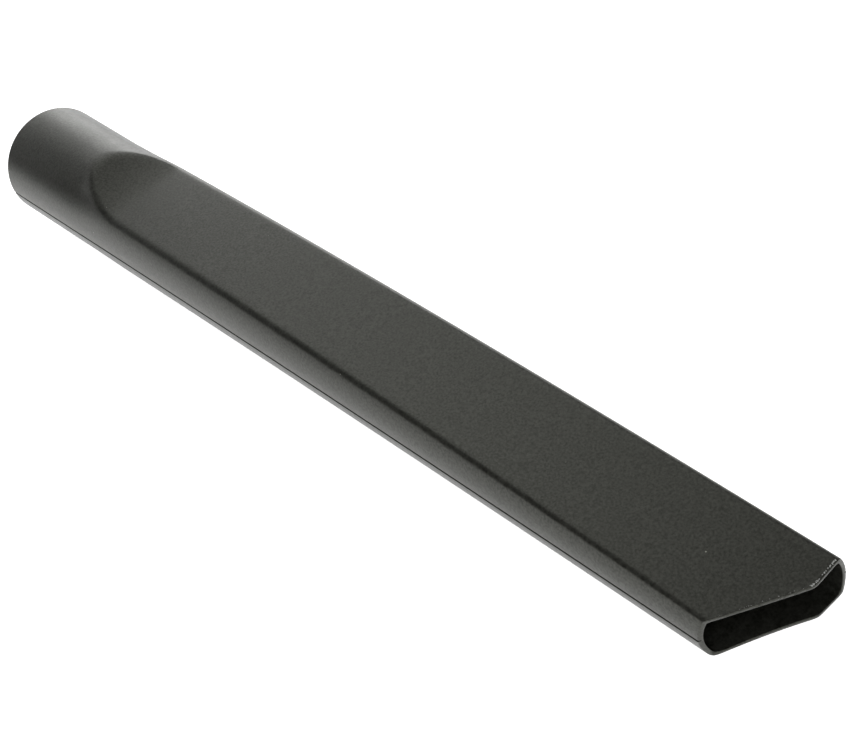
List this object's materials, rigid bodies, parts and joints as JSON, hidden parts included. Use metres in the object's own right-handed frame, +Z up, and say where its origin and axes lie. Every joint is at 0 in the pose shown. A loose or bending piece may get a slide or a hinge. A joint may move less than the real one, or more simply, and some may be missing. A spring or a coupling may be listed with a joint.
{
  "type": "vacuum cleaner crevice nozzle",
  "caption": "Long flat crevice nozzle: round push-on socket, scooped transition, tapering flat duct and slanted blunt mouth, built from upper and lower half shells.",
  "frame": {"origin": "centre of the socket's open end, on the axis of the socket bore", "axes": "+X runs along the tool from the socket's open end to the mouth, +Z is up through the upper shell, and z = 0 is the plane where the two shells meet"},
  "size_m": [0.3, 0.0356, 0.0356],
  "materials": {
    "shell_plastic": "fine grained matte, dark grey to black"
  },
  "bodies": {
    "root": {"upper_shell": "shell_plastic", "lower_shell": "shell_plastic"}
  },
  "joints": []
}
